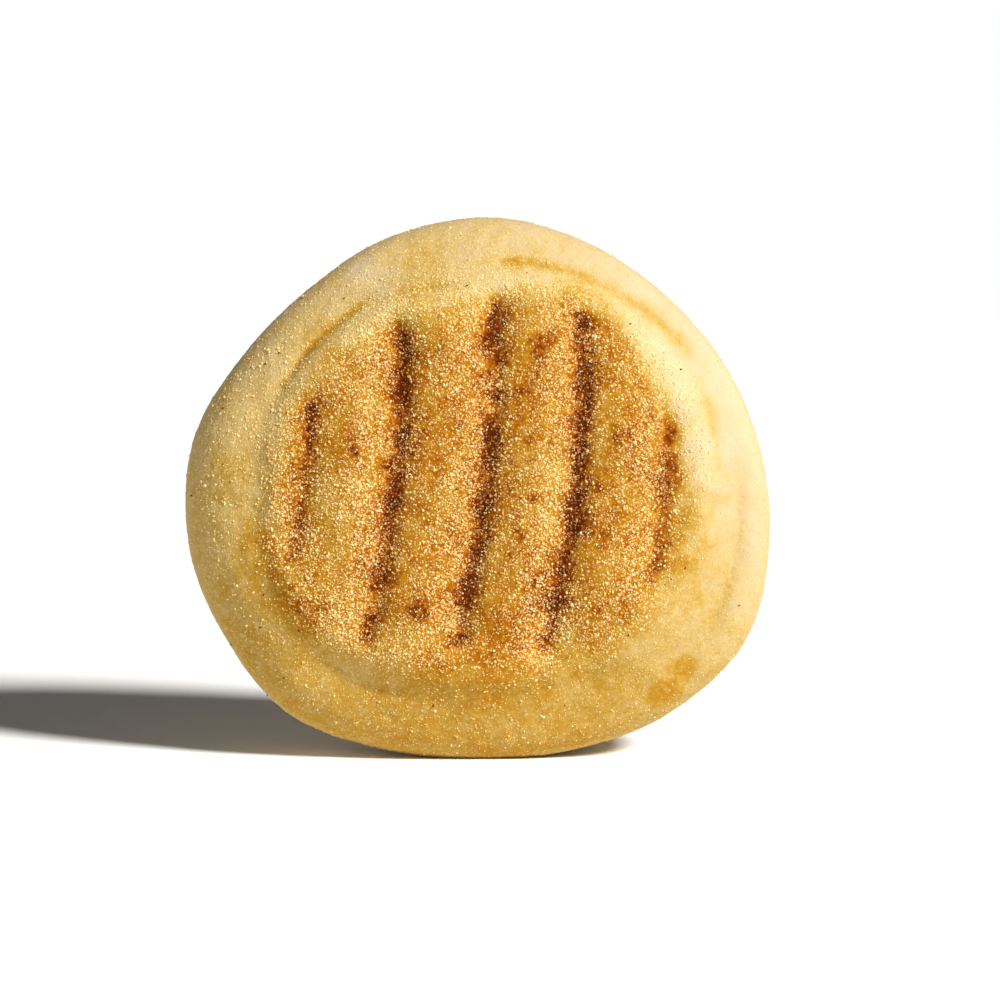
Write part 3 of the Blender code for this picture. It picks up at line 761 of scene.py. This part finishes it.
def add_light(name, aim, turn, lift, power, softness):
    """A distant warm white light, turned to the right of straight ahead and lifted by angles."""
    light = bpy.data.objects.new(name, bpy.data.lights.new(name, "SUN"))
    light.data.energy = power
    light.data.angle = softness
    light.data.color = LIGHT_COLOUR
    way = np.array([math.cos(lift) * math.sin(turn), -math.cos(lift) * math.cos(turn), math.sin(lift)])
    point_at(light, aim + way, aim)
    bpy.context.scene.collection.objects.link(light)


class MuffinShape(bpy.types.PropertyGroup):
    """Sizes of the crust that can be changed, and the start of its random draws."""
    thickness: FloatProperty(name="Thickness", description="From face to face, before the pads are raised",
                             default=30.0 * MM, min=5.0 * MM, unit="LENGTH", precision=4)
    wrinkle_height: FloatProperty(name="Wrinkles", description="Height of the crust's fine wrinkles",
                                  default=0.05 * MM, min=0.0, unit="LENGTH", precision=5)
    seed: IntProperty(name="Seed", description="Start of the random draws for grains and flecks",
                      default=20)


class MuffinLook(bpy.types.PropertyGroup):
    """Colours and finish of the crust and grains."""
    cream: FloatVectorProperty(name="Cream", description="Crust that hasn't browned",
                               default=(0.55, 0.435, 0.265), subtype="COLOR", min=0.0, max=1.0)
    straw: FloatVectorProperty(name="Straw", description="Crust that has just coloured",
                               default=(0.51, 0.352, 0.118), subtype="COLOR", min=0.0, max=1.0)
    maize: FloatVectorProperty(name="Maize", description="Yellow crust at the edge of a pad",
                               default=(0.44, 0.255, 0.033), subtype="COLOR", min=0.0, max=1.0)
    gold: FloatVectorProperty(name="Gold", description="Golden crust",
                              default=(0.41, 0.186, 0.008), subtype="COLOR", min=0.0, max=1.0)
    amber: FloatVectorProperty(name="Amber", description="Well toasted crust",
                               default=(0.345, 0.110, 0.002), subtype="COLOR", min=0.0, max=1.0)
    brown: FloatVectorProperty(name="Brown", description="Crust beside a griddle bar",
                               default=(0.19, 0.038, 0.0006), subtype="COLOR", min=0.0, max=1.0)
    char: FloatVectorProperty(name="Char", description="Crust under a griddle bar",
                              default=(0.085, 0.013, 0.0003), subtype="COLOR", min=0.0, max=1.0)
    flour: FloatVectorProperty(name="Flour", description="Palest semolina",
                               default=(0.88, 0.67, 0.33), subtype="COLOR", min=0.0, max=1.0)
    grain: FloatVectorProperty(name="Grain", description="Yellow semolina",
                               default=(0.77, 0.50, 0.13), subtype="COLOR", min=0.0, max=1.0)
    roughness: FloatProperty(name="Crust roughness", description="Roughness of the bare crust",
                             default=0.68, min=0.0, max=1.0, subtype="FACTOR")
    grain_roughness: FloatProperty(name="Grain roughness", description="Roughness of the semolina grains",
                                   default=0.42, min=0.0, max=1.0, subtype="FACTOR")


class MuffinStage(bpy.types.PropertyGroup):
    """Camera, lights and floor."""
    distance: FloatProperty(name="Camera distance", description="From the camera to what it looks at",
                            default=457.4 * MM, unit="LENGTH")
    lift: FloatProperty(name="Camera lift", description="How far the camera looks down",
                        default=math.radians(5.0), subtype="ANGLE")
    lens: FloatProperty(name="Lens", description="Focal length for a 36 mm wide sensor", default=100.0,
                        unit="CAMERA")
    aim: FloatVectorProperty(name="Aim", description="What the camera looks at, from over the origin",
                             default=(3.6 * MM, 0.0, 42.1 * MM), subtype="XYZ", unit="LENGTH")
    key_power: FloatProperty(name="Key light", description="Strength of the light from the right",
                             default=5.5)
    key_softness: FloatProperty(name="Key softness", description="How wide the key light looks as an angle",
                                default=math.radians(11.0), subtype="ANGLE")
    key_turn: FloatProperty(name="Key turn", description="How far round to the right the key light stands",
                            default=math.radians(54.0), subtype="ANGLE")
    key_lift: FloatProperty(name="Key lift", description="Height of the key light as an angle",
                            default=math.radians(36.0), subtype="ANGLE")
    sky: FloatProperty(name="Sky", description="Strength of the light from overhead", default=0.02, min=0.0)
    fill_power: FloatProperty(name="Fill light", description="Strength of the light from the left",
                              default=0.38)
    fill_turn: FloatProperty(name="Fill turn",
                             description="How far round to the left the fill light stands",
                             default=math.radians(100.0), subtype="ANGLE")
    fill_lift: FloatProperty(name="Fill lift", description="Height of the fill light as an angle",
                             default=math.radians(26.0), subtype="ANGLE")
    fill_softness: FloatProperty(name="Fill softness",
                                 description="How wide the fill light looks as an angle",
                                 default=math.radians(45.0), subtype="ANGLE")
    floor_colour: FloatVectorProperty(name="Floor", description="Colour of the floor",
                                      default=(0.98, 0.98, 0.98), subtype="COLOR", min=0.0, max=1.0)
    floor_size: FloatProperty(name="Floor size", description="Length of the floor's sides", default=6.0,
                              unit="LENGTH")


class MUFFIN_OT_crust(bpy.types.Operator):
    """Makes the crust, which stands for the muffin's solid"""
    bl_idname = "muffin.crust"
    bl_label = "Make crust"

    def execute(self, context):
        shape = context.scene.muffin_shape
        directions, quads = ball_patches(PATCH_STEPS)
        points, browning, coat = shape_crust(flattened(directions, shape.thickness), shape)
        crust = make_mesh("crust", points, quads, True, browning=browning, coat=coat)
        finish_piece(crust, crust_material(context.scene.muffin_look))
        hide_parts(NODE)
        return {"FINISHED"}


class MUFFIN_OT_grains(bpy.types.Operator):
    """Scatters five kinds of semolina grain over the crust, coarse ones first"""
    bl_idname = "muffin.grains"
    bl_label = "Scatter semolina"

    def execute(self, context):
        draw = np.random.default_rng(context.scene.muffin_shape.seed)
        for name, smallest, largest, count, sides, rings, gathering in GRAIN_KINDS:
            places, out, browning = scatter(draw, count, 0.5 * (smallest + largest) * MM, gathering)
            sizes = draw.uniform(smallest, largest, len(places)) * MM
            solid = blunt_solid(sides, rings)
            points, faces, owner = lay_solids(draw, places, out, sizes, solid, GRAIN_STRETCH, GRAIN_LIFT)
            lot = draw.uniform(0.0, 1.0, len(places))
            grains = make_mesh(name, points, faces, False, browning=browning[owner], lot=lot[owner])
            finish_piece(grains, grain_material(context.scene.muffin_look, name))
        return {"FINISHED"}


class MUFFIN_OT_flecks(bpy.types.Operator):
    """Scatters the few dark bran flecks, those that stand out at their own places"""
    bl_idname = "muffin.flecks"
    bl_label = "Scatter bran flecks"

    def execute(self, context):
        draw = np.random.default_rng(context.scene.muffin_shape.seed + 1)
        places, out, _ = scatter(draw, FLECK_COUNT, FLECK_CELL, FLECK_GATHERING)
        points, triangles, _, _ = crust_arrays()
        middles = points[triangles].mean(axis=1)
        named = np.array(FLECK_SPOTS) * MM + np.array([0.0, FOOT_DROP])
        gap = np.hypot(middles[:, 0] - named[:, :1], middles[:, 2] - named[:, 1:]) + (middles[:, 1] > 0.0)
        nearest = gap.argmin(axis=1)
        corners = points[triangles[nearest]]
        normal = np.cross(corners[:, 1] - corners[:, 0], corners[:, 2] - corners[:, 0])
        places = np.concatenate([places, middles[nearest]])
        out = np.concatenate([out, normal / np.linalg.norm(normal, axis=1, keepdims=True)])
        sizes = draw.uniform(*FLECK_SIZES, len(places)) * MM
        solid = blunt_solid(6, 2)
        points, faces, owner = lay_solids(draw, places, out, sizes, solid, FLECK_STRETCH, FLECK_LIFT)
        lot = draw.uniform(0.0, 1.0, len(places))
        flecks = make_mesh("bran_flecks", points, faces, True, lot=lot[owner])
        finish_piece(flecks, fleck_material(context.scene.muffin_look))
        return {"FINISHED"}


class MUFFIN_OT_stage(bpy.types.Operator):
    """Sets the floor, the soft lights and the camera"""
    bl_idname = "muffin.stage"
    bl_label = "Set the stage"

    def execute(self, context):
        scene = context.scene
        stage = scene.muffin_stage
        half = stage.floor_size / 2.0
        corners = np.array([[-half, -half, 0.0], [half, -half, 0.0], [half, half, 0.0], [-half, half, 0.0]])
        floor = make_mesh("floor", corners, np.array([[0, 1, 2, 3]]), False)
        floor.data.materials.append(floor_material(stage))
        scene.world = studio_world(stage)
        aim = np.array(stage.aim)
        add_light("key light", aim, stage.key_turn, stage.key_lift, stage.key_power, stage.key_softness)
        add_light("fill light", aim, -stage.fill_turn, stage.fill_lift, stage.fill_power,
                  stage.fill_softness)
        camera = bpy.data.objects.new("camera", bpy.data.cameras.new("camera"))
        camera.data.lens = stage.lens
        camera.data.clip_start = 0.01
        eye = aim + stage.distance * np.array([0.0, -math.cos(stage.lift), math.sin(stage.lift)])
        point_at(camera, eye, aim)
        scene.collection.objects.link(camera)
        scene.camera = camera
        scene.view_settings.view_transform = "Standard"
        return {"FINISHED"}


class VIEW3D_PT_muffin(bpy.types.Panel):
    """Lists the muffin's sizes, colours and steps"""
    bl_label = "Griddled muffin"
    bl_space_type = "VIEW_3D"
    bl_region_type = "UI"
    bl_category = "Muffin"

    def draw(self, context):
        groups = (context.scene.muffin_shape, context.scene.muffin_look, context.scene.muffin_stage)
        for step, group in zip(("muffin.crust", "muffin.grains", "muffin.stage"), groups):
            for name in group.__annotations__:
                self.layout.prop(group, name)
            self.layout.operator(step)
        self.layout.operator("muffin.flecks")


CLASSES = (MuffinShape, MuffinLook, MuffinStage, MUFFIN_OT_crust, MUFFIN_OT_grains, MUFFIN_OT_flecks,
           MUFFIN_OT_stage, VIEW3D_PT_muffin)


def register():
    """Registers the classes and hangs the three groups of properties on the scene."""
    for cls in CLASSES:
        bpy.utils.register_class(cls)
    bpy.types.Scene.muffin_shape = PointerProperty(type=MuffinShape)
    bpy.types.Scene.muffin_look = PointerProperty(type=MuffinLook)
    bpy.types.Scene.muffin_stage = PointerProperty(type=MuffinStage)


def unregister():
    """Takes the properties and classes away again."""
    del bpy.types.Scene.muffin_shape
    del bpy.types.Scene.muffin_look
    del bpy.types.Scene.muffin_stage
    for cls in reversed(CLASSES):
        bpy.utils.unregister_class(cls)


def main():
    """Builds the muffin step by step."""
    register()
    bpy.ops.muffin.crust()
    bpy.ops.muffin.grains()
    bpy.ops.muffin.flecks()
    bpy.ops.muffin.stage()


if __name__ == "__main__":
    main()
